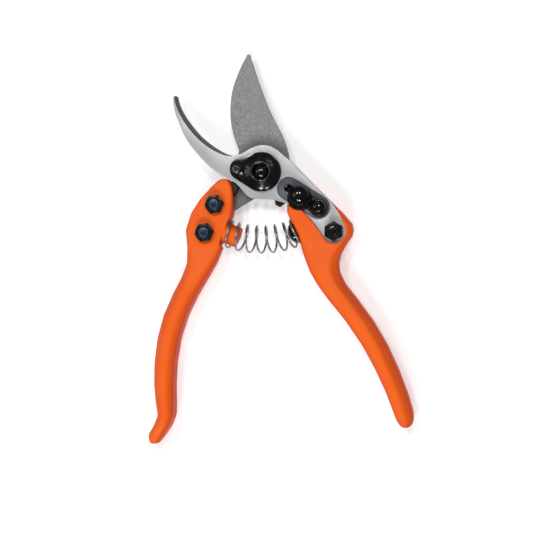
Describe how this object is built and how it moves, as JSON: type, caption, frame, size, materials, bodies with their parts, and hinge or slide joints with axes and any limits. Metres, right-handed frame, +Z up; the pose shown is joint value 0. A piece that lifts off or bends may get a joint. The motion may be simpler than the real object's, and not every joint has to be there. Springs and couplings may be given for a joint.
{
  "type": "bypass pruner",
  "caption": "One-handed garden pruner: a curved blade passes a hooked counter-blade, with coated handles, a bowed coil spring and a sliding thumb catch.",
  "frame": {"origin": "on the pivot's axis, at the flat underside of the pivot bolt's head, which is the plane the tool rests on", "axes": "+Z up along the pivot bolt, +Y towards the jaws along the tool's length, +X towards the hook's handle"},
  "size_m": [0.1539, 0.2238, 0.0193],
  "materials": {
    "coated_blade_steel": "fine blasted grey coat",
    "polished_steel": "satin, ground flat",
    "orange_coat": "satin dipped coat",
    "black_steel": "gloss black oxide",
    "bright_steel": "bright drawn wire",
    "black_plastic": "gloss moulded",
    "black_rubber": "matte"
  },
  "bodies": {
    "hook_side": {"counter_blade": "polished_steel", "hook_handle": "orange_coat", "pivot_bolt": "black_steel", "pivot_washer": "polished_steel", "pivot_nut": "black_steel", "lock_plate": "black_steel", "lock_plate_screw": "bright_steel", "tail_bolt": "black_steel", "tail_nut": "black_steel", "tang_screw": "black_steel", "tang_screw_nut": "black_steel", "catch_leaf_spring": "black_steel", "closing_bumper": "black_rubber", "spring_seat": "black_plastic", "return_spring": "bright_steel"},
    "blade_side": {"cutting_blade": "coated_blade_steel", "blade_handle": "orange_coat", "upper_blade_bolt": "black_steel", "upper_blade_nut": "black_steel", "lower_blade_bolt": "black_steel", "lower_blade_nut": "black_steel", "opening_stop_pad": "black_rubber"},
    "thumb_catch": {"thumb_button": "black_plastic", "catch_stem": "black_steel", "catch_pawl": "black_steel"}
  },
  "joints": [
    {"name": "blade_pivot", "type": "hinge", "parent": "hook_side", "child": "blade_side", "pos_m": [0, 0, 0], "axis": [0, 0, 1], "range_deg": [0, 42], "stiffness_Nm_per_rad": 1.2, "springref_deg": -11.46, "deforming": ["return_spring"]},
    {"name": "catch_slide", "type": "slide", "parent": "hook_side", "child": "thumb_catch", "axis": [-0.848, 0.5299, 0], "range_m": [0, 0.0061]}
  ]
}
